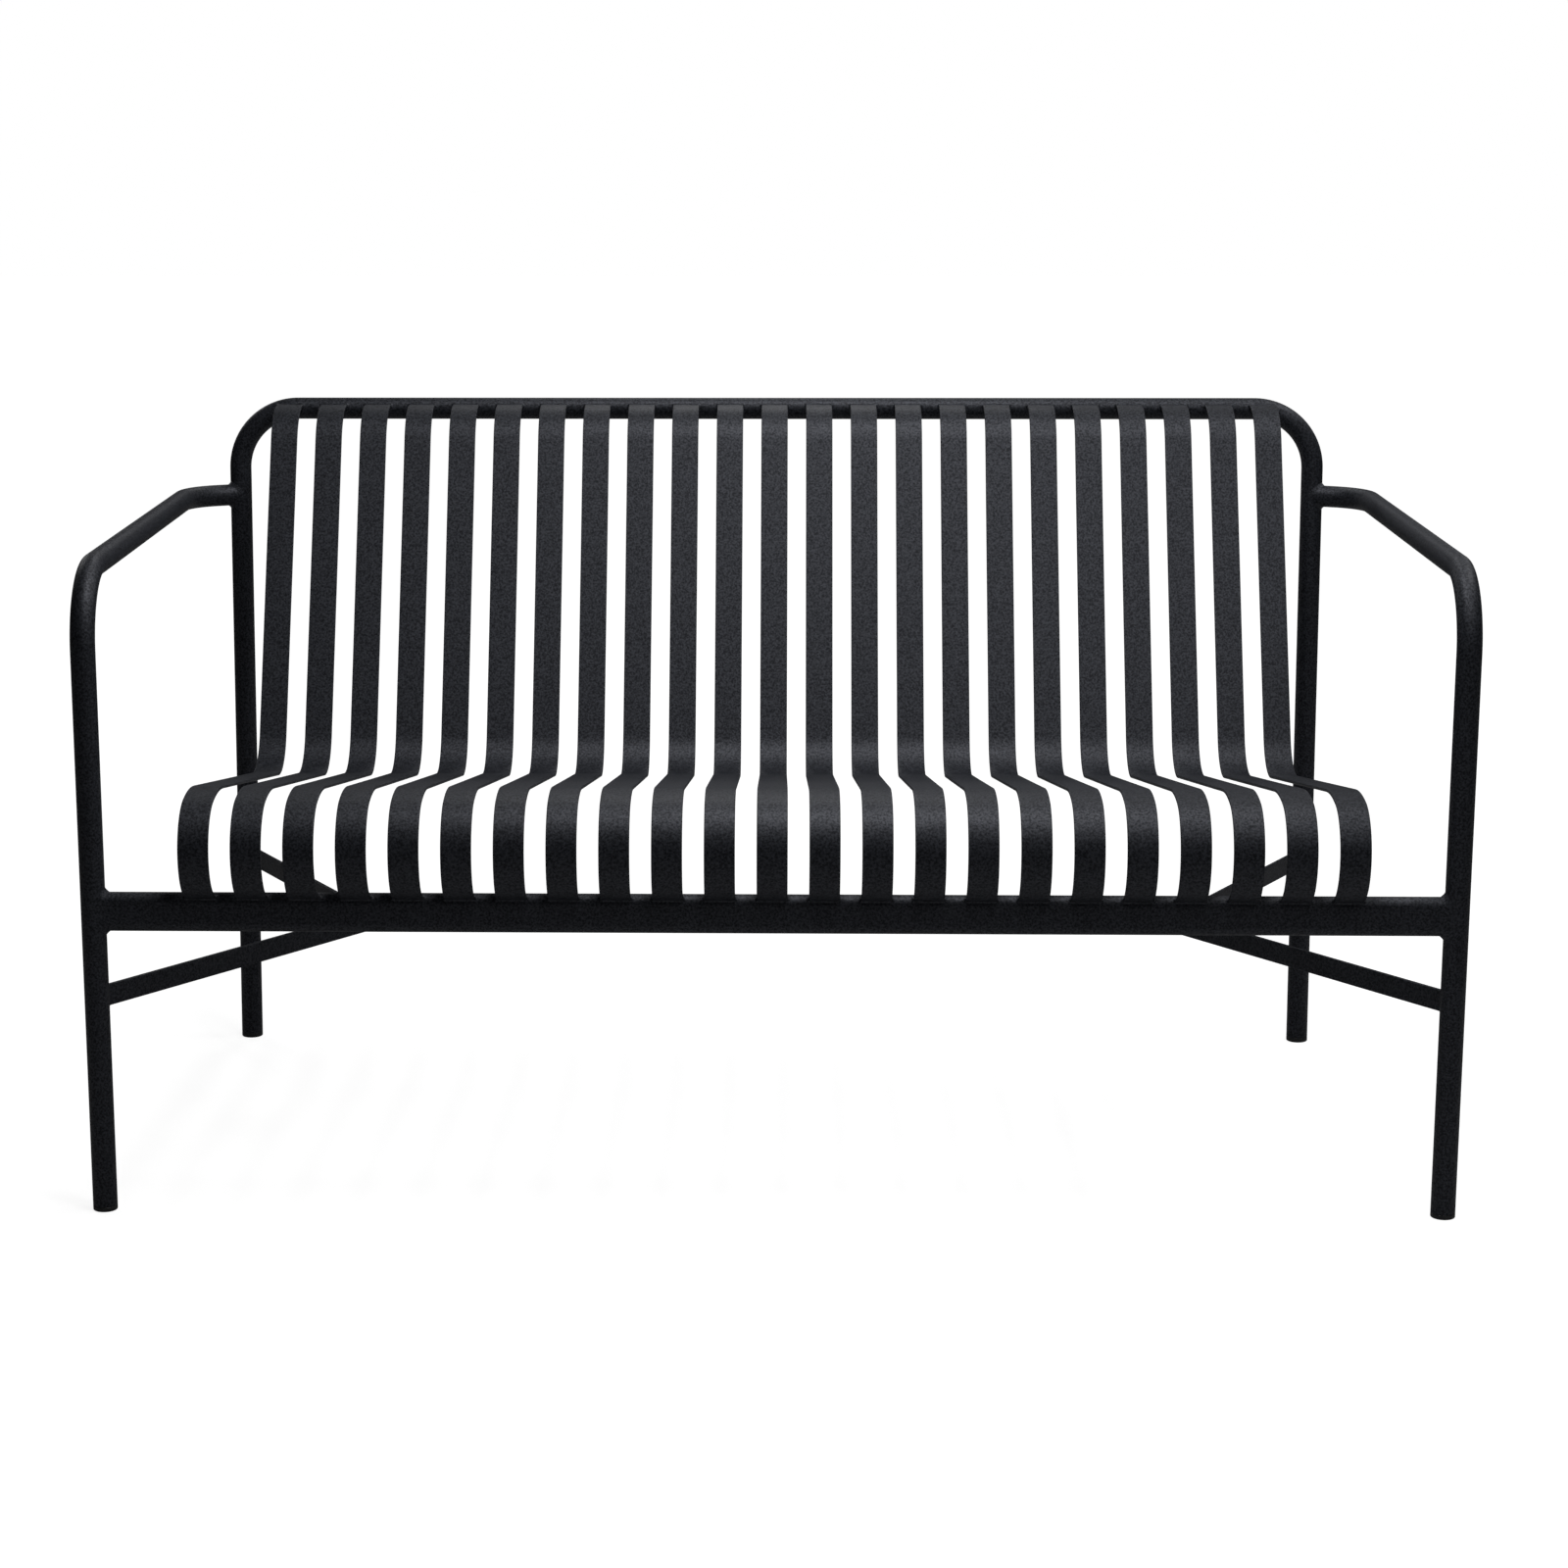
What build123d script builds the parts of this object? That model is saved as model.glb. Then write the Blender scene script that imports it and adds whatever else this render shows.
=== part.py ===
# Patio loveseat: a welded steel bench with a bent tube frame, a row of bent strips as seat and back,
# two arms, a flat-bar brace under the seat and four plastic glides.
# Millimetres, +Z up, the front faces -Y. The origin is on the floor, below the middle of the box.
import os
from math import cos, radians, sin, sqrt, tan

from build123d import *

# Round tube of the legs, arms and back frame, with bend radii at its centre line
tube_d = 25.0
tube_wall = 1.5
frame_bend = 70.0  # top corners of the back frame
knee_bend = 76.0  # front leg into arm
elbow_bend = 62.0  # arm into its straight end at the upright

# Seat and back strips, with radii and angles at the middle of the thickness
slat_count = 23
slat_pitch = 52.1
slat_width = 30.7
slat_thickness = 3.0
curl_radius = 50.8
crown_radius = 167.1
crown_turn = 21.1  # degrees of the wide bend between the front curl and the flat of the seat
seat_slope = 9.2  # degrees that the seat falls towards the back
lumbar_radius = 58.5
recline = 24.5  # degrees that the back leans off the vertical
head_radius = 58.6
head_turn = 59.5

# Ends of the strips
foot_drop = 3.4  # the strip curls under and meets the front of the rail this far below its top
foot_slope = 72.0  # degrees off the vertical at which it meets it
head_rise = 18.0  # degrees above the front of the top rail at which the strip meets it
head_run = 8.0  # straight end of the strip, up to the top rail
cope_overrun = 7.0  # length run into a tube before the end is coped to it

# Places of the frame, measured at the centre lines of the tubes
side_gap = 34.2  # clear gap between the outer strip and the upright
leg_offset = 48.1  # how far the front leg stands outside the upright
elbow_offset = 59.0  # the same for the corner where the arm turns in, so the arms open to the back
elbow_turn = 63.0  # degrees that the arm turns in there
foot_depth = 655.6  # from front foot to rear foot, on the floor
lean = 3.6  # degrees that the back frame leans back
top_rail_height = 758.4
knee_height = 655.1  # corner of the front leg and the arm
elbow_height = 656.6  # elbow and end of the arm

# Flat-oval front rail
rail_height = 40.0
rail_depth = 20.0
rail_wall = 1.5
rail_centre_height = 314.2

# Flat-bar brace
bar_height = 22.0
bar_thickness = 5.0
bar_centre_height = 224.1
apex_inset = 237.5  # from the front leg inward to the point where two diagonals meet

# Glides
glide_cap = 5.0
glide_round = 1.2
stem_length = 18.0
stem_round = 1.0
stem_clearance = 0.15

# Derived places
tube_r = tube_d / 2
rear_half_span = (slat_count - 1) / 2 * slat_pitch + slat_width / 2 + side_gap + tube_r
front_half_span = rear_half_span + leg_offset
apex_half_span = front_half_span - apex_inset
rail_top = rail_centre_height + rail_height / 2
foot_reach = sqrt(foot_drop * (rail_depth - foot_drop))  # from the middle of the rail to the strip's foot


def rear_depth(height):
    """Distance of the leaning back frame behind the front legs, at a height."""
    return foot_depth + height * tan(radians(lean))


def heading(angle):
    """Unit vector at an angle in degrees, from the first axis of a plane to the second."""
    return Vector(cos(radians(angle)), sin(radians(angle)))


# The box runs from the front of the curl to the back of the top rail, with its middle at Y = 0.
curl_front = -foot_reach + curl_radius * (cos(radians(foot_slope)) - 1) - slat_thickness / 2
frame_back = rear_depth(top_rail_height) + tube_r
front_y = -(curl_front + frame_back) / 2
apex_y = front_y + rear_depth(bar_centre_height) / 2


def largest(shape):
    """The main solid left after coping, without the offcut inside the other tube."""
    return max(shape.solids(), key=lambda solid: solid.volume)


def swept(section, path):
    """A section swept along a path, square to its start."""
    return sweep(Plane(path @ 0, z_dir=path % 0) * section, path=path)


def tube(path):
    """A round tube along a path, and the same tube filled, which other pieces are coped to."""
    filled = swept(Circle(tube_r), path)
    return filled - swept(Circle(tube_r - tube_wall), path), filled


def frame_path():
    """Centre line of the back frame, an inverted U in the leaning plane."""
    upward = heading(90 - lean)
    leaning = Plane((0, front_y + foot_depth, 0), x_dir=(1, 0, 0), z_dir=(0, -upward.Y, upward.X))
    top = top_rail_height / cos(radians(lean))
    ends = ((-1, glide_cap), (-1, top), (1, top), (1, glide_cap))
    return leaning * FilletPolyline(*((side * rear_half_span, end) for side, end in ends), radius=frame_bend)


def arm_path(side):
    """Centre line of a front leg that bends into the arm, which turns in to the upright."""
    end_y = front_y + rear_depth(elbow_height)
    elbow_y = end_y - elbow_offset / tan(radians(elbow_turn))
    return FilletPolyline(
        (side * front_half_span, front_y, glide_cap),
        (side * front_half_span, front_y, knee_height),
        (side * (rear_half_span + elbow_offset), elbow_y, elbow_height),
        (side * rear_half_span, end_y, elbow_height),
        radius=(knee_bend, elbow_bend),
    )


def rail_bar(height, depth):
    """A flat-oval bar between the centre lines of the front legs."""
    section = Pos(front_y, rail_centre_height) * SlotOverall(height, depth, 90)
    return extrude(Plane.YZ.offset(-front_half_span) * section, amount=2 * front_half_span)


def arc_step(radius, start, turn):
    """Displacement along an arc that starts at an angle and turns by another, in degrees."""
    side = radius if turn > 0 else -radius
    return (heading(start + turn - 90) - heading(start - 90)) * side


def slat_path():
    """Middle line of a strip, from the front rail over the seat and up the back to the top rail.

    Angles run from +Y towards +Z. The straight runs of the seat and of the back have the two
    lengths that close the chain between the rails.
    """
    foot_angle = 90 + foot_slope
    back_angle = 90 - recline
    head_angle = back_angle - head_turn
    bends = (
        (curl_radius, foot_angle, crown_turn - seat_slope - foot_angle),
        (crown_radius, crown_turn - seat_slope, -crown_turn),
        (lumbar_radius, -seat_slope, back_angle + seat_slope),
        (head_radius, back_angle, -head_turn),
    )
    foot = Vector(front_y - foot_reach, rail_top - foot_drop)
    top_rail = Vector(front_y + rear_depth(top_rail_height), top_rail_height)
    meeting = top_rail + heading(180 - head_rise) * tube_r
    rest = meeting - heading(head_angle) * head_run - foot
    for bend in bends:
        rest -= arc_step(*bend)
    seat, back = heading(-seat_slope), heading(back_angle)
    cross = seat.X * back.Y - seat.Y * back.X
    seat_run = (rest.X * back.Y - rest.Y * back.X) / cross
    back_run = (seat.X * rest.Y - seat.Y * rest.X) / cross

    edges = [Line(foot - heading(foot_angle) * cope_overrun, foot)]
    for (radius, angle, turn), run in zip(bends, (0, seat_run, back_run, head_run + cope_overrun)):
        edges.append(JernArc(edges[-1] @ 1, heading(angle), radius, turn))
        if run:
            edges.append(Line(edges[-1] @ 1, (edges[-1] @ 1) + heading(angle + turn) * run))
    return Plane.YZ * Wire(edges)


def brace_bar(side, leg_x, leg_y, to_rear):
    """One diagonal of the brace, from the middle of its leg to the mitre at the apex."""
    leg = Vector(side * leg_x, leg_y, bar_centre_height)
    apex = Vector(side * apex_half_span, apex_y, bar_centre_height)
    length = (apex - leg).length
    along = Plane(leg, x_dir=apex - leg, z_dir=(0, 0, 1))
    bar = along * Pos(length / 2, 0) * Box(length + 2 * bar_thickness, bar_thickness, bar_height)
    inner_end = Plane(apex, x_dir=(0, 1, 0), z_dir=(side, 0, 0))
    mitre = Plane(apex, x_dir=(1, 0, 0), z_dir=(0, to_rear, 0))
    return split(split(bar, bisect_by=inner_end, keep=Keep.TOP), bisect_by=mitre, keep=Keep.TOP)


def glide(place, upward):
    """A plastic plug in a tube end, with a cap that stands flat on the floor."""
    axis = Plane(place, z_dir=upward)
    reach = tube_r * tan(radians(lean))
    cap = axis * Pos(0, 0, (glide_cap - reach) / 2) * Cylinder(tube_r, glide_cap + reach)
    cap = split(cap, bisect_by=Plane.XY, keep=Keep.TOP)
    cap = fillet(cap.edges().group_by(Axis.Z)[0], glide_round)
    stem = Cylinder(tube_r - tube_wall - stem_clearance, stem_length)
    stem = fillet(stem.edges().group_by(Axis.Z)[-1], stem_round)
    return cap + axis * Pos(0, 0, glide_cap + stem_length / 2) * stem


def build():
    """Every piece of the bench, by name."""
    sides = (("left", -1), ("right", 1))
    pieces = {}
    pieces["rear_frame"], uprights = tube(frame_path())
    legs = {}
    for name, side in sides:
        arm, legs[name] = tube(arm_path(side))
        pieces[f"arm_{name}"] = largest(arm - uprights)
    front_legs = legs["left"] + legs["right"]

    rail = rail_bar(rail_height, rail_depth)
    bore = rail_bar(rail_height - 2 * rail_wall, rail_depth - 2 * rail_wall)
    pieces["front_rail"] = largest(rail - bore - front_legs)

    strip = swept(Rectangle(slat_thickness, slat_width), slat_path())
    for number in range(slat_count):
        place = Pos((number - (slat_count - 1) / 2) * slat_pitch, 0)
        pieces[f"slat_{number + 1:02d}"] = largest(place * strip - rail - uprights)

    rear_y = front_y + rear_depth(bar_centre_height)
    for name, side in sides:
        front_bar = brace_bar(side, front_half_span, front_y, -1)
        rear_bar = brace_bar(side, rear_half_span, rear_y, 1)
        pieces[f"brace_front_{name}"] = largest(front_bar - front_legs)
        pieces[f"brace_rear_{name}"] = largest(rear_bar - uprights)
    centre_bar = Box(2 * apex_half_span, bar_thickness, bar_height)
    pieces["brace_centre"] = Pos(0, apex_y, bar_centre_height) * centre_bar

    leaning = heading(90 - lean)
    for name, side in sides:
        front, rear = (side * front_half_span, front_y, 0), (side * rear_half_span, front_y + foot_depth, 0)
        pieces[f"glide_front_{name}"] = glide(front, (0, 0, 1))
        pieces[f"glide_rear_{name}"] = glide(rear, (0, leaning.X, leaning.Y))
    return pieces


os.makedirs("parts", exist_ok=True)
for node, piece in build().items():
    export_step(piece, f"parts/{node}.step")
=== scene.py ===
from math import ceil, cos, pi, radians, sin, sqrt, tan

import bpy
import numpy as np
from mathutils import Matrix


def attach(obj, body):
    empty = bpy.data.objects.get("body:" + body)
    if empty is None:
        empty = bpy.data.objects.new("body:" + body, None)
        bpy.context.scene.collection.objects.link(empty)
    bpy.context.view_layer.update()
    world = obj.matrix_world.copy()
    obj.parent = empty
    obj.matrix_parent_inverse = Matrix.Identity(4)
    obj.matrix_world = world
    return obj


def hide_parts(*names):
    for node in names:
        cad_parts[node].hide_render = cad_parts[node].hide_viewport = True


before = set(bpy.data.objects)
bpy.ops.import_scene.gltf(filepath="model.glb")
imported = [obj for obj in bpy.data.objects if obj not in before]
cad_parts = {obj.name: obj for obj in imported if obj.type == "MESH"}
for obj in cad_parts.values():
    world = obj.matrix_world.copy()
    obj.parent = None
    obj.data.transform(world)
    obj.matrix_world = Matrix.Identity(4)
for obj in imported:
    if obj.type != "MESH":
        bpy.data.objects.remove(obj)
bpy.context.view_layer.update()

# All sizes are millimetres until a mesh is written, in metres
MM = 0.001
ACROSS, BACK, UP = np.eye(3)
SIDES = (("left", -1), ("right", 1))

# Round tube of the legs, arms and back frame, with bend radii at its centre line
tube_r = 12.5
tube_wall = 1.5
frame_bend = 70.0
knee_bend = 76.0
elbow_bend = 62.0

# Strips of the seat and back, with radii and angles at the middle of their thickness
slat_count = 23
slat_pitch = 52.1
slat_width = 30.7
slat_thickness = 3.0
slat_edge = 0.7  # radius that rolling and the coat leave on the strip's edges
curl_radius = 50.8
crown_radius = 167.1
crown_turn = radians(21.1)
seat_slope = radians(9.2)
lumbar_radius = 58.5
recline = radians(24.5)
head_radius = 58.6
head_turn = radians(59.5)
foot_drop = 3.4
foot_slope = radians(72.0)
head_rise = radians(18.0)
head_run = 8.0

# Places of the frame, at the centre lines of the tubes
side_gap = 34.2
leg_offset = 48.1
elbow_offset = 59.0
elbow_turn = radians(63.0)
foot_depth = 655.6
lean = radians(3.6)
top_rail_height = 758.4
knee_height = 655.1
elbow_height = 656.6

# Flat-oval front rail
rail_half_height = 20.0
rail_half_depth = 10.0
rail_wall = 1.5
rail_centre_height = 314.2

# Flat-bar brace
bar_height = 22.0
bar_thickness = 5.0
bar_edge = 0.8
bar_centre_height = 224.1
apex_inset = 237.5

# Glides
glide_cap = 5.0
glide_round = 1.2
glide_chamfer = 0.4
stem_length = 18.0
stem_round = 1.0
stem_clearance = 0.15

# Weld beads, measured from the corner that they fill
arm_bead = 3.2
rail_bead = 4.5
bar_bead = 3.6
mitre_bead = 3.0
head_bead = 2.4
foot_bead = 3.0
bead_hollow = 0.4  # how far the face of a bead is drawn towards its corner, as a share
filled_hollow = 0.92  # the same share for the strips' beads, whose toes the coat has filled smooth
bead_crown = 0.2  # height that the face keeps where the corner opens flat
filled_lift = 0.2  # share of the crown and the ripple that still shows on the strips' beads
bead_root = 0.6  # depth of the hidden root in the metal
bead_sink = 0.05  # depth of the toes, so that no gap shows beside them
least_taper = 0.02  # share of its width that a straight bead keeps at its ends
ripple_pitch = 2.4
ripple_height = 0.07

# Fineness of the surfaces
bend_step = radians(2.6)
tube_sides = 72
corner_steps = 4
bead_corner_steps = 8
bead_spacing = 0.4
bead_steps = 7
cut_edge = 0.4  # small chamfer of a sawn tube end
crease = radians(40)  # edges that turn more than this stay sharp

# Cuts of the bars to their supports
halvings = 40
settle_rounds = 3
slope_step = 0.01
cut_before = -6  # a strip's lines are cut between these two distances from its end
cut_beyond = 8
foot_rings = 3  # rings left out at a strip's foot, where some lines are cut before its end

# Derived places
rear_half_span = (slat_count - 1) / 2 * slat_pitch + slat_width / 2 + side_gap + tube_r
front_half_span = rear_half_span + leg_offset
apex_half_span = front_half_span - apex_inset
rail_top = rail_centre_height + rail_half_height
foot_reach = sqrt(foot_drop * (2 * rail_half_depth - foot_drop))
curl_front = -foot_reach + curl_radius * (cos(foot_slope) - 1) - slat_thickness / 2


def rear_depth(height):
    """Distance of the leaning back frame behind the front legs, at a height."""
    return foot_depth + height * tan(lean)


front_y = -(curl_front + rear_depth(top_rail_height) + tube_r) / 2
apex_y = front_y + rear_depth(bar_centre_height) / 2
leaning_up = np.array((0, sin(lean), cos(lean)))
leaning_back = np.array((0, cos(lean), -sin(lean)))
rear_foot = np.array((0, front_y + foot_depth, 0))
frame_top = top_rail_height / cos(lean)


def heading(angle):
    """Direction in the side view at an angle from the back to the top: back cos a + up sin a."""
    return cos(angle) * BACK + sin(angle) * UP


def turned(vectors, axis, angles):
    """Vectors turned about a unit axis: v cos a + (axis x v) sin a + axis (axis . v)(1 - cos a)."""
    along = (vectors @ axis)[..., None] * axis
    sideways = np.cross(axis, vectors)
    return vectors * np.cos(angles) + sideways * np.sin(angles) + along * (1 - np.cos(angles))


def unit(vectors):
    """The same directions with length one: v / |v|."""
    return vectors / np.linalg.norm(vectors, axis=-1, keepdims=True)


class Bar:
    """Centre line of a bent bar: its places, and at each place three unit rows along, across and out.

    A run carries the last rows straight on. A bend turns them about an axis through its centre.
    """

    def __init__(self, place, along, across):
        self.places = np.array([place], float)
        self.rows = np.array([[along, across, np.cross(along, across)]], float)

    def run(self, length):
        end = self.places[-1] + length * self.rows[-1, 0]
        self.places = np.vstack([self.places, end])
        self.rows = np.concatenate([self.rows, self.rows[-1:]])
        return self

    def bend(self, radius, turn, axis):
        angles = np.linspace(0, turn, ceil(abs(turn) / bend_step) + 1)[1:, None]
        centre = self.places[-1] + np.sign(turn) * radius * np.cross(axis, self.rows[-1, 0])
        places = centre + turned(self.places[-1] - centre, axis, angles)
        self.places = np.vstack([self.places, places])
        self.rows = np.concatenate([self.rows, turned(self.rows[-1], axis, angles[..., None])])
        return self

    def swept(self, section):
        """Rings of a surface: place + across * first + out * second, for each point of the section."""
        across, out = self.rows[:, None, 1], self.rows[:, None, 2]
        return self.places[:, None] + section[:, :1] * across + section[:, 1:] * out


def bent_bar(corners, radii, across):
    """A bar through corners. Each bend takes radius * tan(turn / 2) off the runs beside it."""
    steps = np.diff(np.array(corners), axis=0)
    lengths = np.linalg.norm(steps, axis=1)
    ways = steps / lengths[:, None]
    turns = np.arccos((ways[1:] * ways[:-1]).sum(1))
    cuts = np.concatenate([[0], radii * np.tan(turns / 2), [0]])
    bar = Bar(corners[0], ways[0], across).run(lengths[0] - cuts[0] - cuts[1])
    for number, (radius, turn) in enumerate(zip(radii, turns)):
        bar = bar.bend(radius, turn, unit(np.cross(ways[number], ways[number + 1])))
        bar = bar.run(lengths[number + 1] - cuts[number + 1] - cuts[number + 2])
    return bar


def arc(centre, radius, start, stop, steps):
    """Points of an arc: centre + radius (cos a, sin a), both ends included."""
    angles = np.linspace(start, stop, steps + 1)[:, None]
    return np.array(centre) + radius * np.hstack([np.cos(angles), np.sin(angles)])


def circle(radius):
    """A ring of points: radius (cos a, sin a)."""
    return arc((0, 0), radius, 0, 2 * pi, tube_sides)[:-1]


def oval(half_long, half_short, steps):
    """Outline of a flat oval that stands along its second axis: two half circles."""
    rise = half_long - half_short
    upper = arc((0, rise), half_short, 0, pi, steps)
    return np.vstack([upper, -upper])


def rounded(width, height, edge, steps=corner_steps):
    """Outline of a rectangle with round corners: a quarter circle at each corner.

    One more point beside each quarter circle keeps the flat sides flat under smooth shading.
    """
    corners = []
    for number, (x, y) in enumerate(((1, 1), (-1, 1), (-1, -1), (1, -1))):
        centre = (x * (width / 2 - edge), y * (height / 2 - edge))
        start = number * pi / 2
        bow = arc(centre, edge, start, start + pi / 2, steps)
        before, after = np.array((-sin(start), cos(start))), np.array((-cos(start), -sin(start)))
        corners.append(np.vstack([bow[0] - before * edge / 2, bow, bow[-1] + after * edge / 2]))
    return np.vstack(corners)


def dense(outline, spacing):
    """The same closed outline with points at even distances along it."""
    closed = np.vstack([outline, outline[:1]])
    sides = np.linalg.norm(np.diff(closed, axis=0), axis=1)
    lengths = np.concatenate([[0], np.cumsum(sides)])
    steps = np.linspace(0, lengths[-1], ceil(lengths[-1] / spacing) + 1)[:-1]
    return np.stack([np.interp(steps, lengths, closed[:, axis]) for axis in range(closed.shape[1])], 1)


def frame_gap(points):
    """Distance from the back frame's tube, whose centre line is an inverted U with round corners.

    It is the root of a^2 + b^2 less the tube's radius, where a is the distance from the line in the
    leaning plane, and b the distance from that plane.
    """
    beside = np.abs(points[..., 0]) - rear_half_span
    above = (points - rear_foot) @ leaning_up - frame_top
    behind = (points - rear_foot) @ leaning_back
    corner = np.hypot(np.maximum(beside + frame_bend, 0), np.maximum(above + frame_bend, 0))
    in_corner = (beside > -frame_bend) & (above > -frame_bend)
    outside = np.where(in_corner, corner - frame_bend, np.maximum(beside, above))
    return np.hypot(outside, behind) - tube_r


def leg_gap(points):
    """Distance from the tubes of the two front legs: sqrt(x^2 + y^2) from an axis, less the radius."""
    return np.hypot(np.abs(points[..., 0]) - front_half_span, points[..., 1] - front_y) - tube_r


def rail_gap(points):
    """Distance from the flat-oval front rail: from its section's middle line, less half its depth."""
    rise = np.abs(points[..., 2] - rail_centre_height) - rail_half_height + rail_half_depth
    return np.hypot(points[..., 1] - front_y, np.maximum(rise, 0)) - rail_half_depth


def slope(gap, points):
    """Unit direction in which a gap widens fastest, from its differences along the three axes."""
    rises = [gap(points + slope_step * axis) - gap(points - slope_step * axis) for axis in np.eye(3)]
    return unit(np.stack(rises, -1))


def settled(gap, points):
    """Points moved square onto the surface where the gap is nought: p - gap * slope, a few times."""
    for _ in range(settle_rounds):
        points = points - gap(points)[..., None] * slope(gap, points)
    return points


def straight_on(ring, along):
    """Each point of a ring carried straight on by its own distance."""
    return lambda distance: ring + distance[:, None] * along


def round_on(ring, centre, axis, radius):
    """Each point of a ring carried on round a bend, by its own distance at the centre line."""
    return lambda distance: centre + turned(ring - centre, axis, distance[:, None] / radius)


def met(carried, gap, count, near, far):
    """How far each line of a bar runs before it meets its support, by repeated halving."""
    near, far = np.full(count, float(near)), np.full(count, float(far))
    for _ in range(halvings):
        middle = (near + far) / 2
        outside = gap(carried(middle)) > 0
        near, far = np.where(outside, middle, near), np.where(outside, far, middle)
    return near


def bead(corner, on_bar, on_support, crown, taper=1.0, filled=False):
    """A weld bead: a curved face from its toe on the bar to its toe on the support, with a hidden root.

    The face is the parabola with ends A and B and control C = (A + B) / 2, drawn to the corner by a
    share. It is lifted by 4 t (1 - t) times the crown height and a ripple along the bead. The lift and
    the depth of the root follow the bead's taper.
    """
    share = np.linspace(0, 1, bead_steps)[None, :, None]
    hollow = filled_hollow if filled else bead_hollow
    control = (1 - hollow) * (on_bar + on_support) / 2 + hollow * corner
    steps = np.linalg.norm(np.roll(corner, -1, 0) - corner, axis=1)
    waves = max(1, round(steps.sum() / ripple_pitch))
    phase = np.cumsum(steps) / steps.sum() * waves * 2 * pi
    lift = (bead_crown + ripple_height * np.cos(phase))[:, None] * taper
    if filled:
        lift = lift * filled_lift
    bar_toe, support_toe = on_bar - bead_sink * crown, on_support - bead_sink * crown
    face = (
        (1 - share) ** 2 * bar_toe[:, None]
        + 2 * share * (1 - share) * control[:, None]
        + share**2 * support_toe[:, None]
        + 4 * share * (1 - share) * (lift * crown)[:, None]
    )
    root = corner - bead_root * taper * crown
    return np.concatenate([face, root[:, None]], 1)


def bead_round(carried, gap, reach, outward, width, filled=False):
    """A bead round the end of a bar that meets a support along a closed line."""
    corner = carried(reach)
    on_bar = carried(reach - width)
    line = np.roll(corner, -1, 0) - np.roll(corner, 1, 0)
    normal = slope(gap, corner)
    away = unit(np.cross(normal, line))
    away *= np.sign((away * outward).sum())
    on_support = settled(gap, corner + width * away)
    return bead(corner, on_bar, on_support, unit(normal + outward), filled=filled)


def bead_line(start, end, to_bar, to_support, crown):
    """A straight bead in a corner between two flat faces, from the steps to its toes on both of them.

    It narrows to round ends, as the square root of 1 - s^2 from its middle to each end.
    """
    steps = ceil(np.linalg.norm(end - start) / bead_spacing)
    share = np.linspace(-1, 1, steps + 1)[:, None]
    corner = (start + end) / 2 + share * (end - start) / 2
    taper = np.sqrt(np.maximum(1 - share**2, least_taper**2))
    crown = np.broadcast_to(unit(crown), corner.shape)
    return bead(corner, corner + taper * to_bar, corner + taper * to_support, crown, taper)


def fine_outline(width, height, edge):
    """A bar's outline, divided finely for its beads, and its outward normals.

    A unit tangent (a, b) of the outline has the normal (b, -a).
    """
    fine = dense(rounded(width, height, edge, bead_corner_steps), bead_spacing)
    tangents = unit(np.roll(fine, -1, 0) - np.roll(fine, 1, 0))
    return fine, np.stack([tangents[:, 1], -tangents[:, 0]], 1)


def cells(rows, columns, loop):
    """Corner numbers of the four-sided faces of a grid whose rows are closed rings."""
    start = np.arange(rows if loop else rows - 1)[:, None] * columns
    onward = (start + columns) % (rows * columns)
    column = np.arange(columns)[None]
    beside = (column + 1) % columns
    corners = (start + column, start + beside, onward + beside, onward + column)
    return np.stack(corners, -1).reshape(-1, 4)


def fan(first, columns, pole):
    """Corner numbers of the triangles from a ring to its pole."""
    column = np.arange(columns)
    return np.stack([first + column, np.full(columns, pole), first + (column + 1) % columns], -1)


def volume(points, triangles):
    """Volume inside a closed surface: a sixth of the sum of a . (b x c) over its triangles."""
    a, b, c = (points[triangles[:, corner]] for corner in range(3))
    return (a * np.cross(b, c)).sum() / 6


def surface(grid, loop):
    """Points, four-sided faces and triangles of one closed surface, with its faces outwards.

    A grid that isn't a loop is closed at each end by a fan from its ring to the ring's middle.
    """
    rows, columns = grid.shape[:2]
    points = grid.reshape(-1, 3)
    quads, ends = cells(rows, columns, loop), np.zeros((0, 3), int)
    if not loop:
        pole = rows * columns
        points = np.vstack([points, grid[0].mean(0), grid[-1].mean(0)])
        ends = np.vstack([fan(0, columns, pole), fan(pole - columns, columns, pole + 1)[:, ::-1]])
    halves = np.vstack([quads[:, [0, 1, 2]], quads[:, [0, 2, 3]], ends])
    if volume(points, halves) < 0:
        quads, ends = quads[:, ::-1], ends[:, ::-1]
    return points, quads, ends


def piece(name, grids, coat, nodes=()):
    """A mesh object made of closed surfaces, in metres, that rides with the bench."""
    points, quads, ends, count = [], [], [], 0
    for grid, loop in grids:
        corners, faces, caps = surface(grid, loop)
        points.append(corners)
        quads.append(faces + count)
        ends.append(caps + count)
        count += len(corners)
    points, quads, ends = np.vstack(points), np.vstack(quads), np.vstack(ends)
    starts = np.concatenate([np.arange(len(quads)) * 4, quads.size + np.arange(len(ends)) * 3])
    mesh = bpy.data.meshes.new(name)
    mesh.vertices.add(len(points))
    mesh.vertices.foreach_set("co", (points * MM).astype(np.float32).ravel())
    mesh.loops.add(quads.size + ends.size)
    indices = np.concatenate([quads.ravel(), ends.ravel()])
    mesh.loops.foreach_set("vertex_index", indices.astype(np.int32))
    mesh.polygons.add(len(starts))
    mesh.polygons.foreach_set("loop_start", starts.astype(np.int32))
    mesh.update(calc_edges=True)
    mesh.validate()
    mesh.shade_smooth()
    mesh.set_sharp_from_angle(angle=crease)
    mesh.materials.append(coat)
    thing = bpy.data.objects.new(name, mesh)
    bpy.context.scene.collection.objects.link(thing)
    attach(thing, "root")
    if nodes:
        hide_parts(*nodes)


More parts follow.
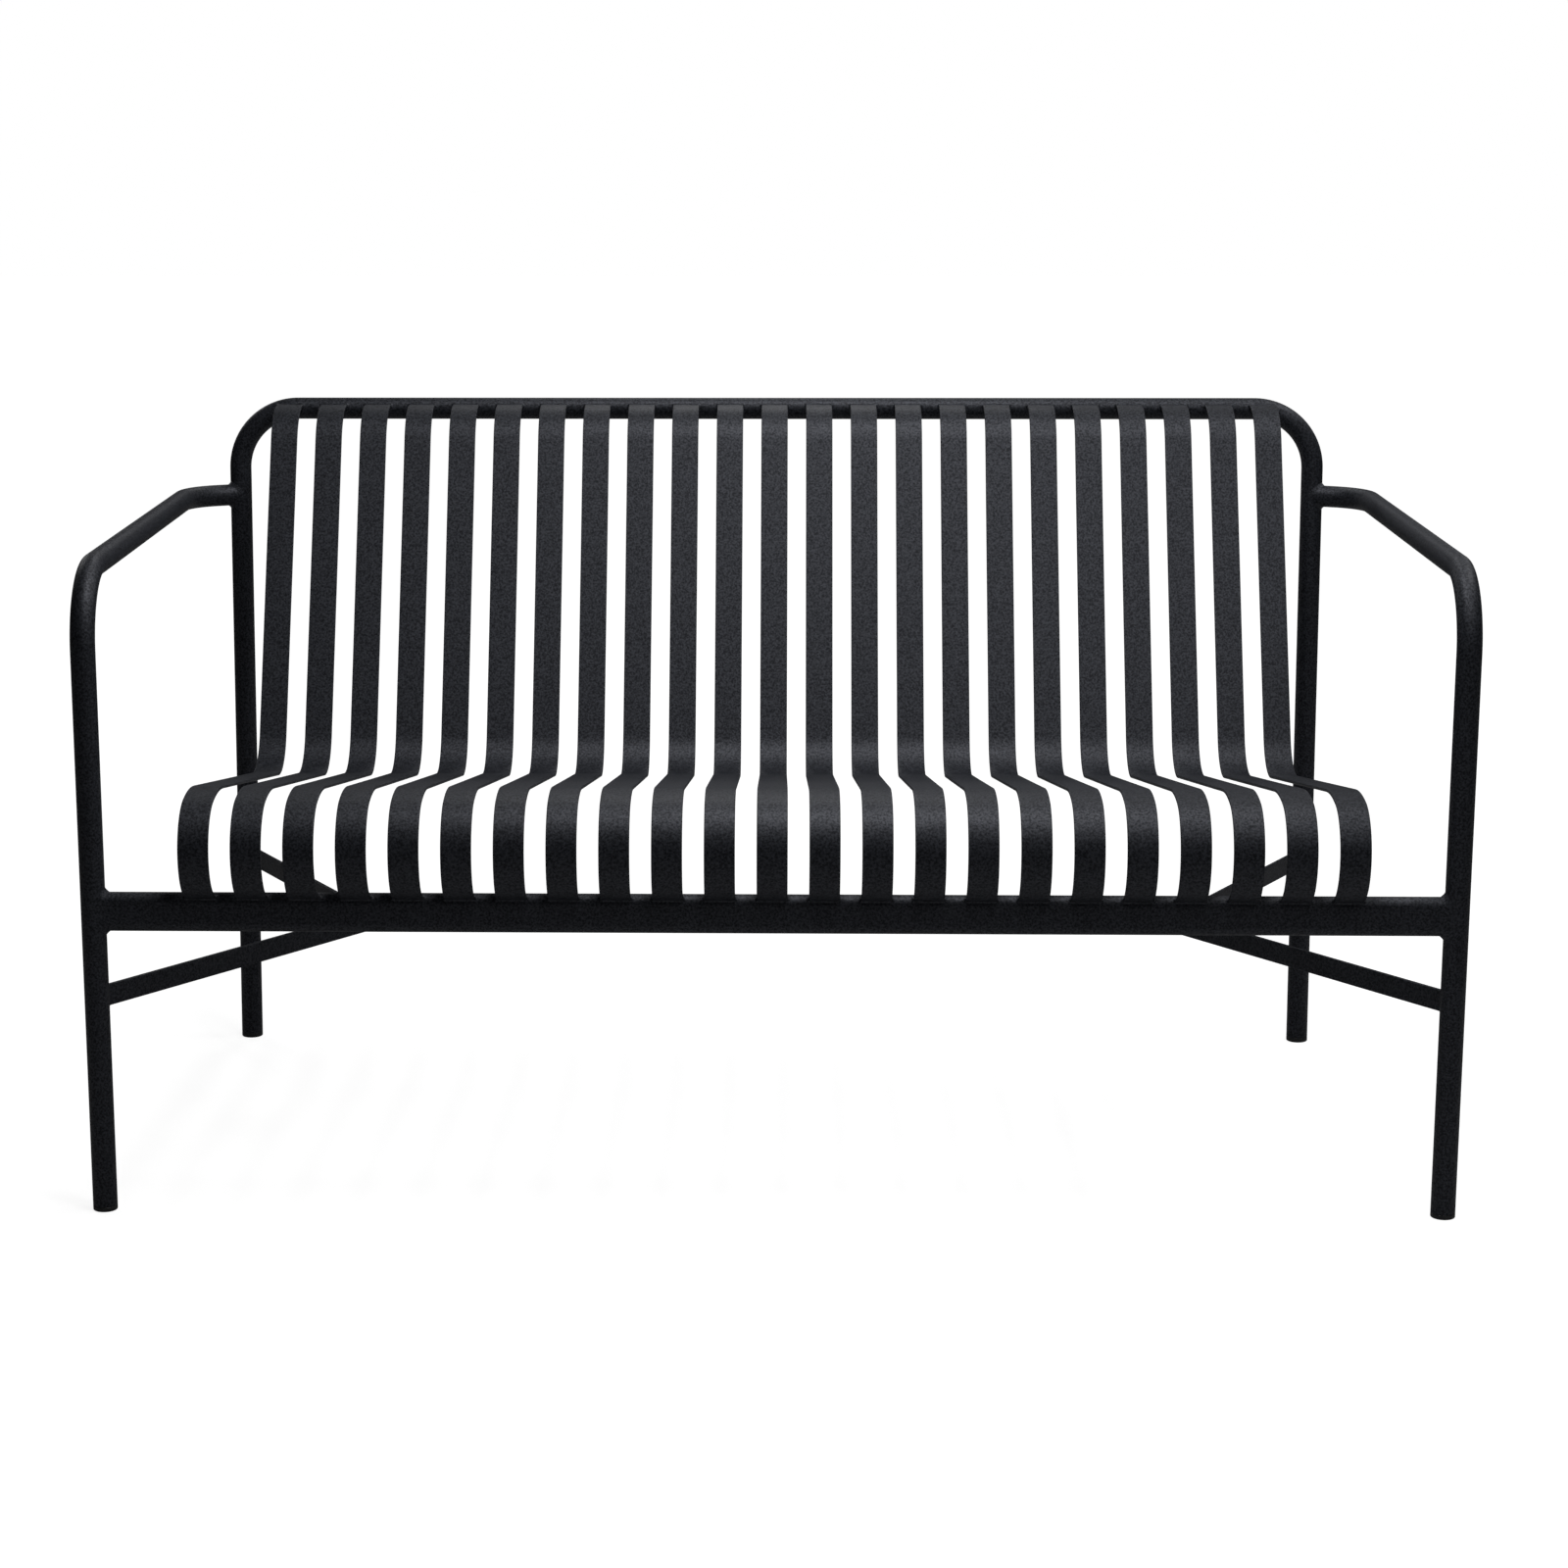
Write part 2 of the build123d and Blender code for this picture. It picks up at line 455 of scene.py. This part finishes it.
def linear(text):
    """Linear colour of an sRGB hex value."""
    parts = [int(text[place : place + 2], 16) / 255 for place in (1, 3, 5)]
    levels = [part / 12.92 if part <= 0.04045 else ((part + 0.055) / 1.055) ** 2.4 for part in parts]
    return [*levels, 1.0]


def add(tree, kind, inputs=None, **settings):
    """A node of a kind with its settings. Each input gets a value, or a link from an output."""
    node = tree.nodes.new(kind)
    for setting, value in settings.items():
        setattr(node, setting, value)
    for socket, value in (inputs or {}).items():
        if isinstance(value, bpy.types.NodeSocket):
            tree.links.new(value, node.inputs[socket])
        else:
            node.inputs[socket].default_value = value
    return node


def blank_material(name):
    """A material with an empty node tree."""
    material = bpy.data.materials.new(name)
    material.use_nodes = True
    material.node_tree.nodes.clear()
    return material, material.node_tree


def powder_coat():
    """Fine-textured polyester powder coat, sprayed on the welded steel and baked.

    To the eye it is a dry anthracite black with a broad, soft gloss and a fine, even grain. The real
    grain is about half a millimetre, too fine for the render, so it is drawn about four times as
    coarse. Its pits are painted darker than its peaks, in colour and in specular level: painted shade
    where the pits shadow themselves.
    """
    grain, cloud, film = 2.2 * MM, 60 * MM, 9 * MM
    material, tree = blank_material("fine_textured_powder_coat")
    place = add(tree, "ShaderNodeTexCoord").outputs["Object"]
    pebbles = add(
        tree,
        "ShaderNodeTexNoise",
        {"Vector": place, "Scale": 1 / grain, "Detail": 2.0, "Roughness": 0.6},
    ).outputs["Fac"]
    clouds = add(
        tree,
        "ShaderNodeTexNoise",
        {"Vector": place, "Scale": 1 / cloud, "Detail": 3.0, "Roughness": 0.5},
    ).outputs["Fac"]
    waves = add(
        tree,
        "ShaderNodeTexNoise",
        {"Vector": place, "Scale": 1 / film, "Detail": 1.0, "Roughness": 0.4},
    ).outputs["Fac"]
    peaks = add(
        tree, "ShaderNodeMapRange", {"Value": pebbles, "From Min": 0.36, "From Max": 0.64}
    ).outputs["Result"]
    # Painted shade: the pits get a darker colour than the peaks, where they would shadow themselves
    pit_shaded_colour = add(
        tree,
        "ShaderNodeMix",
        {"Factor": peaks, "A": linear("#0f1115"), "B": linear("#23262c")},
        data_type="RGBA",
    )
    # Painted shade: the pits reflect less than the peaks, as if shadowed
    pit_shaded_specular = add(tree, "ShaderNodeMapRange", {"Value": peaks, "To Min": 0.26, "To Max": 0.74})
    tone = add(tree, "ShaderNodeMapRange", {"Value": clouds, "To Min": 0.93, "To Max": 1.07})
    colour = add(
        tree,
        "ShaderNodeVectorMath",
        {0: pit_shaded_colour.outputs["Result"], "Scale": tone.outputs["Result"]},
        operation="SCALE",
    )
    rough = add(tree, "ShaderNodeMapRange", {"Value": pebbles, "To Min": 0.49, "To Max": 0.6})
    peel = add(tree, "ShaderNodeBump", {"Height": waves, "Strength": 0.12, "Distance": 0.5 * MM})
    texture = add(
        tree,
        "ShaderNodeBump",
        {"Height": pebbles, "Strength": 0.35, "Distance": 0.25 * MM, "Normal": peel.outputs["Normal"]},
    )
    shader = add(
        tree,
        "ShaderNodeBsdfPrincipled",
        {
            "Base Color": colour.outputs["Vector"],
            "Roughness": rough.outputs["Result"],
            "IOR": 1.5,
            "Specular IOR Level": pit_shaded_specular.outputs["Result"],
            "Specular Tint": linear("#f1f3ff"),
            "Normal": texture.outputs["Normal"],
        },
    )
    add(tree, "ShaderNodeOutputMaterial", {"Surface": shader.outputs["BSDF"]})
    return material


def moulded_plastic():
    """Injection-moulded polyethylene: a smooth, slightly waxy black, scuffed dull near the floor."""
    grain = 1.2 * MM
    material, tree = blank_material("moulded_black_polyethylene")
    place = add(tree, "ShaderNodeTexCoord").outputs["Object"]
    spark = add(
        tree,
        "ShaderNodeTexNoise",
        {"Vector": place, "Scale": 1 / grain, "Detail": 2.0, "Roughness": 0.5},
    ).outputs["Fac"]
    height = add(tree, "ShaderNodeSeparateXYZ", {"Vector": place}).outputs["Z"]
    scuff = add(
        tree,
        "ShaderNodeMapRange",
        {"Value": height, "From Max": glide_cap * MM, "To Min": 1.0, "To Max": 0.0},
    ).outputs["Result"]
    worn = add(tree, "ShaderNodeMath", {0: scuff, 1: spark}, operation="MULTIPLY").outputs["Value"]
    colour = add(
        tree,
        "ShaderNodeMix",
        {"Factor": worn, "A": linear("#16171a"), "B": linear("#2c2d2f")},
        data_type="RGBA",
    )
    rough = add(tree, "ShaderNodeMapRange", {"Value": worn, "To Min": 0.4, "To Max": 0.7})
    bump = add(tree, "ShaderNodeBump", {"Height": spark, "Strength": 0.2, "Distance": 0.1 * MM})
    shader = add(
        tree,
        "ShaderNodeBsdfPrincipled",
        {
            "Base Color": colour.outputs["Result"],
            "Roughness": rough.outputs["Result"],
            "IOR": 1.51,
            "Normal": bump.outputs["Normal"],
        },
    )
    add(tree, "ShaderNodeOutputMaterial", {"Surface": shader.outputs["BSDF"]})
    return material


def back_frame(coat):
    """One tube bent to an inverted U in the leaning plane: two walls, joined at the ends."""
    ends = ((-1, glide_cap), (-1, frame_top), (1, frame_top), (1, glide_cap))
    corners = [rear_foot + side * rear_half_span * ACROSS + rise * leaning_up for side, rise in ends]
    bar = bent_bar(corners, (frame_bend, frame_bend), ACROSS)
    radii = (tube_r, tube_r - cut_edge, tube_r - tube_wall)
    outer, lip, inner = (bar.swept(circle(radius)) for radius in radii)
    outer[[0, -1]] += cut_edge * leaning_up
    grid = np.concatenate([lip[:1], outer, lip[-1:], inner[::-1]])
    piece("back_frame_tube", [(grid, True)], coat, ["rear_frame"])


def arm(name, side, coat):
    """One tube, and its weld: front leg, arm and a short end, cut to the upright's round."""
    end_y = front_y + rear_depth(elbow_height)
    elbow_y = end_y - elbow_offset / tan(elbow_turn)
    corners = (
        (side * front_half_span, front_y, glide_cap),
        (side * front_half_span, front_y, knee_height),
        (side * (rear_half_span + elbow_offset), elbow_y, elbow_height),
        (side * rear_half_span, end_y, elbow_height),
    )
    bar = bent_bar(corners, (knee_bend, elbow_bend), ACROSS)
    along, across, out = bar.rows[-1]
    length = np.linalg.norm(bar.places[-1] - bar.places[-2])
    walls = []
    for radius in (tube_r, tube_r - tube_wall):
        rings = bar.swept(circle(radius))
        onwards = straight_on(rings[-2], along)
        reach = met(onwards, frame_gap, tube_sides, 0, length)
        walls.append(np.concatenate([rings[:-1], onwards(reach)[None]]))
    outer, inner = walls
    outer[0] += cut_edge * UP
    lip = bar.swept(circle(tube_r - cut_edge))[:1]
    grid = np.concatenate([lip, outer, inner[::-1]])
    piece(f"arm_tube_{name}", [(grid, True)], coat, [f"arm_{name}"])

    fine = dense(circle(tube_r), bead_spacing)
    outward = (fine[:, :1] * across + fine[:, 1:] * out) / tube_r
    onwards = straight_on(bar.places[-2] + tube_r * outward, along)
    reach = met(onwards, frame_gap, len(fine), 0, length)
    grid = bead_round(onwards, frame_gap, reach, outward, arm_bead)
    piece(f"weld_arm_{name}", [(grid, True)], coat)


def front_rail(coat):
    """A flat-oval tube between the front legs, its ends cut to the legs' round, and its two welds."""
    steps = tube_sides // 2
    sections = (
        oval(rail_half_height, rail_half_depth, steps),
        oval(rail_half_height - rail_wall, rail_half_depth - rail_wall, steps),
    )
    middle = Bar((0, front_y, rail_centre_height), ACROSS, BACK)
    walls = []
    for section in sections:
        ring = middle.swept(section)[0]
        ends = []
        for side in (-1, 1):
            carried = straight_on(ring, side * ACROSS)
            ends.append(carried(met(carried, leg_gap, len(ring), 0, front_half_span)))
        walls.append(np.array(ends))
    grid = np.concatenate([walls[0], walls[1][::-1]])
    piece("front_rail_oval", [(grid, True)], coat, ["front_rail"])

    fine = dense(sections[0], bead_spacing)
    ring = middle.swept(fine)[0]
    outward = slope(rail_gap, ring)
    for name, side in SIDES:
        carried = straight_on(ring, side * ACROSS)
        reach = met(carried, leg_gap, len(ring), 0, front_half_span)
        grid = bead_round(carried, leg_gap, reach, outward, rail_bead)
        piece(f"weld_rail_{name}", [(grid, True)], coat)


def strip_bar(x):
    """Middle line of a strip, from the front rail over the seat and up the back to the top rail.

    The straight runs of the seat and of the back have the two lengths that close the chain.
    """
    foot_angle = pi / 2 + foot_slope
    back_angle = pi / 2 - recline
    head_angle = back_angle - head_turn
    bends = (
        (curl_radius, foot_angle, crown_turn - seat_slope - foot_angle),
        (crown_radius, crown_turn - seat_slope, -crown_turn),
        (lumbar_radius, -seat_slope, back_angle + seat_slope),
        (head_radius, back_angle, -head_turn),
    )
    foot = (front_y - foot_reach) * BACK + (rail_top - foot_drop) * UP
    top_rail = (front_y + rear_depth(top_rail_height)) * BACK + top_rail_height * UP
    meeting = top_rail + tube_r * heading(pi - head_rise)
    rest = meeting - head_run * heading(head_angle) - foot
    for radius, angle, turn in bends:
        chord = heading(angle + turn - pi / 2) - heading(angle - pi / 2)
        rest = rest - np.sign(turn) * radius * chord
    ways = np.stack([heading(-seat_slope)[1:], heading(back_angle)[1:]], 1)
    runs = np.linalg.solve(ways, rest[1:])
    bar = Bar(foot + x * ACROSS, heading(foot_angle), ACROSS)
    for (radius, angle, turn), length in zip(bends, (0, *runs, head_run)):
        bar = bar.bend(radius, turn, ACROSS)
        if length:
            bar = bar.run(length)
    return bar


def strip_ends(bar, section):
    """The two ends of a strip: how its lines run on into each rail, and how far they reach."""
    rings = bar.swept(section)
    centre = bar.places[0] - curl_radius * np.cross(ACROSS, bar.rows[0, 0])
    backwards = round_on(rings[0], centre, ACROSS, curl_radius)
    onwards = straight_on(rings[-1], bar.rows[-1, 0])
    foot_cut = met(backwards, rail_gap, len(section), cut_before, cut_beyond)
    head_cut = met(onwards, frame_gap, len(section), cut_before, cut_beyond)
    return rings, backwards, foot_cut, onwards, head_cut


def strips(coat):
    """The bent strips, each end cut to its rail, and a fine bead round each end."""
    section = rounded(slat_width, slat_thickness, slat_edge)
    fine, normals = fine_outline(slat_width, slat_thickness, slat_edge)
    feet, heads = [], []
    for number in range(slat_count):
        bar = strip_bar((number - (slat_count - 1) / 2) * slat_pitch)
        rings, backwards, foot_cut, onwards, head_cut = strip_ends(bar, section)
        foot, head = backwards(foot_cut)[None], onwards(head_cut)[None]
        body = np.concatenate([foot, rings[foot_rings:-1], head])
        name = f"{number + 1:02d}"
        piece(f"strip_{name}", [(body, False)], coat, [f"slat_{name}"])

        _, backwards, foot_cut, onwards, head_cut = strip_ends(bar, fine)
        outward = normals @ bar.rows[0, 1:]
        grid = bead_round(backwards, rail_gap, foot_cut, outward, foot_bead, filled=True)
        feet.append((grid, True))
        outward = normals @ bar.rows[-1, 1:]
        grid = bead_round(onwards, frame_gap, head_cut, outward, head_bead, filled=True)
        heads.append((grid, True))
    piece("welds_strip_feet", feet, coat)
    piece("welds_strip_heads", heads, coat)


def mitre_gap(side, to_rear):
    """Distance from the two cuts of a mitre, negative beyond either of them."""

    def gap(points):
        return np.minimum(side * points[..., 0] - apex_half_span, to_rear * (points[..., 1] - apex_y))

    return gap


def brace(coat):
    """Four flat bars from the legs to two mitres, a fifth between the mitres, and their welds."""
    section = rounded(bar_thickness, bar_height, bar_edge)
    fine, normals = fine_outline(bar_thickness, bar_height, bar_edge)
    places = (
        ("front", front_half_span, front_y, -1, leg_gap),
        ("rear", rear_half_span, front_y + rear_depth(bar_centre_height), 1, frame_gap),
    )
    half_seam = (bar_height / 2 - bar_edge) * UP
    half_bar = bar_thickness / 2
    for name, side in SIDES:
        apex = np.array((side * apex_half_span, apex_y, bar_centre_height))
        for end, span, y, to_rear, gap in places:
            leg = np.array((side * span, y, bar_centre_height))
            length = np.linalg.norm(leg - apex)
            along = (leg - apex) / length
            middle = Bar((apex + leg) / 2, along, np.cross(UP, along))
            ring = middle.swept(section)[0]
            outer, inner = straight_on(ring, along), straight_on(ring, -along)
            coped = met(outer, gap, len(ring), 0, length / 2)
            past_apex = length / 2 + 2 * bar_thickness
            mitred = met(inner, mitre_gap(side, to_rear), len(ring), 0, past_apex)
            grid = np.array([outer(coped), inner(mitred)])
            nodes = [f"brace_{end}_{name}"]
            piece(f"brace_bar_{end}_{name}", [(grid, False)], coat, nodes)

            carried = straight_on(middle.swept(fine)[0], along)
            reach = met(carried, gap, len(fine), 0, length / 2)
            grid = bead_round(carried, gap, reach, normals @ middle.rows[0, 1:], bar_bead)
            piece(f"weld_brace_{end}_{name}", [(grid, True)], coat)

            # At the mitre the diagonal stands proud of the middle bar: an upright bead fills the corner
            corner = apex + to_rear * half_bar * BACK
            proud = to_rear * half_bar * (1 / abs(along[0]) - 1) * BACK
            crown = to_rear * BACK - side * ACROSS
            toes = -side * mitre_bead * ACROSS, proud + mitre_bead / 2 * along
            grid = bead_line(corner - half_seam, corner + half_seam, *toes, crown)
            piece(f"weld_mitre_{end}_{name}", [(grid, False)], coat)

    ends = Bar((-apex_half_span, apex_y, bar_centre_height), ACROSS, BACK).run(2 * apex_half_span)
    piece("brace_bar_centre", [(ends.swept(section), False)], coat, ["brace_centre"])


def glide(name, place, up_axis, back_axis, plastic, node):
    """A plastic plug in a tube end: a profile of radius and height, turned about the tube's axis.

    The lower rows of its cap are carried along the axis to one level, so that it stands flat.
    """
    angles = np.linspace(0, 2 * pi, tube_sides, endpoint=False)[:, None]
    ray = np.cos(angles) * ACROSS + np.sin(angles) * back_axis
    rim = arc((tube_r - glide_round, glide_round), glide_round, -pi / 2, 0, corner_steps)
    stem_r = tube_r - tube_wall - stem_clearance
    tip = glide_cap + stem_length
    nose = arc((stem_r - stem_round, tip - stem_round), stem_round, 0, pi / 2, corner_steps)
    shoulder = (
        (tube_r, glide_cap - glide_chamfer),
        (tube_r - glide_chamfer, glide_cap),
        (stem_r, glide_cap),
    )
    rows = []
    for radius, height in rim:
        foot = place + radius * ray
        rows.append(foot + (height - foot[:, 2:]) / up_axis[2] * up_axis)
    for radius, height in np.vstack([shoulder, nose]):
        rows.append(place + radius * ray + height * up_axis)
    piece(f"plug_{name}", [(np.array(rows), False)], plastic, [node])


def glides(plastic):
    """The four plugs: upright in the front legs, leaning in the back frame."""
    for name, side in SIDES:
        front = side * front_half_span * ACROSS + front_y * BACK
        rear = side * rear_half_span * ACROSS + rear_foot
        glide(f"front_{name}", front, UP, BACK, plastic, f"glide_front_{name}")
        glide(f"rear_{name}", rear, leaning_up, leaning_back, plastic, f"glide_rear_{name}")


# Camera, fitted to edges in the photo. The fit puts its axis off the picture's middle, hence the shift.
image_width = 1600
focal_pixels = 3359.5
axis_pixel = (721.8, 839.2)
sensor_width = 36.0
camera_place = np.array((6.5, front_y - 3208.9, 1094.2))
camera_tilt, camera_turn, camera_roll = 0.2107, -0.0222, -0.0013


def aim_camera():
    """The camera's right, up and back, from its turn, its tilt down and its roll."""
    level = np.array((sin(camera_turn), cos(camera_turn), 0))
    ahead = cos(camera_tilt) * level - sin(camera_tilt) * UP
    right = np.array((cos(camera_turn), -sin(camera_turn), 0))
    up = np.cross(right, ahead)
    right, up = (
        cos(camera_roll) * right + sin(camera_roll) * up,
        cos(camera_roll) * up - sin(camera_roll) * right,
    )
    data = bpy.data.cameras.new("camera")
    data.sensor_fit = "HORIZONTAL"
    data.sensor_width = sensor_width
    data.lens = focal_pixels / image_width * sensor_width
    data.shift_x = 0.5 - axis_pixel[0] / image_width
    data.shift_y = axis_pixel[1] / image_width - 0.5
    camera = bpy.data.objects.new("camera", data)
    turn = Matrix((right, up, -ahead)).transposed().to_4x4()
    camera.matrix_world = Matrix.Translation(camera_place * MM) @ turn
    bpy.context.scene.collection.objects.link(camera)
    bpy.context.scene.camera = camera


# Lamps: name, place, width and depth in metres, and power in watts. They face the middle of the bench.
# The long one overhead gives most of the light on the middle of the back and of the curls. The rear one
# gives over half of it on the middle of the crown and on the left arm. The front right one reaches the
# lower curls, the rail and the legs. The other three add less, and mostly at the bench's two ends.
SOFTBOXES = (
    ("overhead_softbox", (0.1, -0.45, 2.45), 0.5, 1.2, 21.0),
    ("right_softbox", (1.6, 0.4, 2.6), 0.8, 0.8, 14.5),
    ("front_right_softbox", (0.9, -1.36, 1.9), 1.0, 1.0, 4.9),
    ("rear_right_softbox", (1.4, 1.41, 1.57), 0.8, 0.8, 1.5),
    ("rear_softbox", (-0.05, 2.83, 2.98), 0.8, 0.8, 11.2),
    ("rear_left_softbox", (-2.45, 2.92, 2.23), 1.0, 1.0, 10.0),
)
lamp_target = (0, 0, 0.4)
floor_half = 20.0  # metres


def softbox(name, place, size, power):
    """A rectangular lamp, in metres and watts, that faces the middle of the bench."""
    data = bpy.data.lights.new(name, "AREA")
    data.shape = "RECTANGLE"
    data.size, data.size_y = size
    data.energy = power
    lamp = bpy.data.objects.new(name, data)
    back = unit(np.subtract(place, lamp_target))
    side = unit(np.cross(BACK, back))
    turn = Matrix((side, np.cross(back, side), back)).transposed().to_4x4()
    lamp.matrix_world = Matrix.Translation(place) @ turn
    bpy.context.scene.collection.objects.link(lamp)


def matt_paper():
    """Matt white paper. To the camera it also glows, more so further out, so that it ends in white."""
    material, tree = blank_material("matt_white_paper")
    place = add(tree, "ShaderNodeTexCoord").outputs["Object"]
    away = add(tree, "ShaderNodeVectorMath", {0: place}, operation="LENGTH").outputs["Value"]
    glow = add(
        tree,
        "ShaderNodeMapRange",
        {"Value": away, "From Min": 1.0, "From Max": 3.5, "To Min": 0.865, "To Max": 1.0},
        interpolation_type="SMOOTHSTEP",
    ).outputs["Result"]
    seen = add(tree, "ShaderNodeLightPath").outputs["Is Camera Ray"]
    strength = add(tree, "ShaderNodeMath", {0: glow, 1: seen}, operation="MULTIPLY").outputs["Value"]
    shine = add(tree, "ShaderNodeEmission", {"Strength": strength})
    paper = add(tree, "ShaderNodeBsdfDiffuse", {"Color": linear("#bababa")})
    both = add(tree, "ShaderNodeAddShader", {0: shine.outputs["Emission"], 1: paper.outputs["BSDF"]})
    add(tree, "ShaderNodeOutputMaterial", {"Surface": both.outputs["Shader"]})
    return material


def white_floor():
    """A wide square sheet of paper on the floor, which keeps the bench's shadow."""
    corners = [(x * floor_half, y * floor_half, 0) for x, y in ((-1, -1), (1, -1), (1, 1), (-1, 1))]
    mesh = bpy.data.meshes.new("floor")
    mesh.from_pydata(corners, [], [(0, 1, 2, 3)])
    mesh.materials.append(matt_paper())
    floor = bpy.data.objects.new("floor", mesh)
    bpy.context.scene.collection.objects.link(floor)


def white_surround():
    """A surround that the camera sees as white, and that gives the bench only little light."""
    world = bpy.data.worlds.new("surround")
    world.use_nodes = True
    tree = world.node_tree
    tree.nodes.clear()
    seen = add(tree, "ShaderNodeLightPath").outputs["Is Camera Ray"]
    level = add(tree, "ShaderNodeMapRange", {"Value": seen, "To Min": 0.03, "To Max": 1.0})
    light = {"Color": (1, 1, 1, 1), "Strength": level.outputs["Result"]}
    surround = add(tree, "ShaderNodeBackground", light)
    add(tree, "ShaderNodeOutputWorld", {"Surface": surround.outputs["Background"]})
    bpy.context.scene.world = world


def studio():
    """A white floor, a white surround, and soft light from above."""
    white_floor()
    white_surround()
    for name, place, width, depth, power in SOFTBOXES:
        softbox(name, place, (width, depth), power)
    bpy.context.scene.view_settings.view_transform = "Standard"


coat = powder_coat()
back_frame(coat)
for name, side in SIDES:
    arm(name, side, coat)
front_rail(coat)
strips(coat)
brace(coat)
glides(moulded_plastic())
studio()
aim_camera()
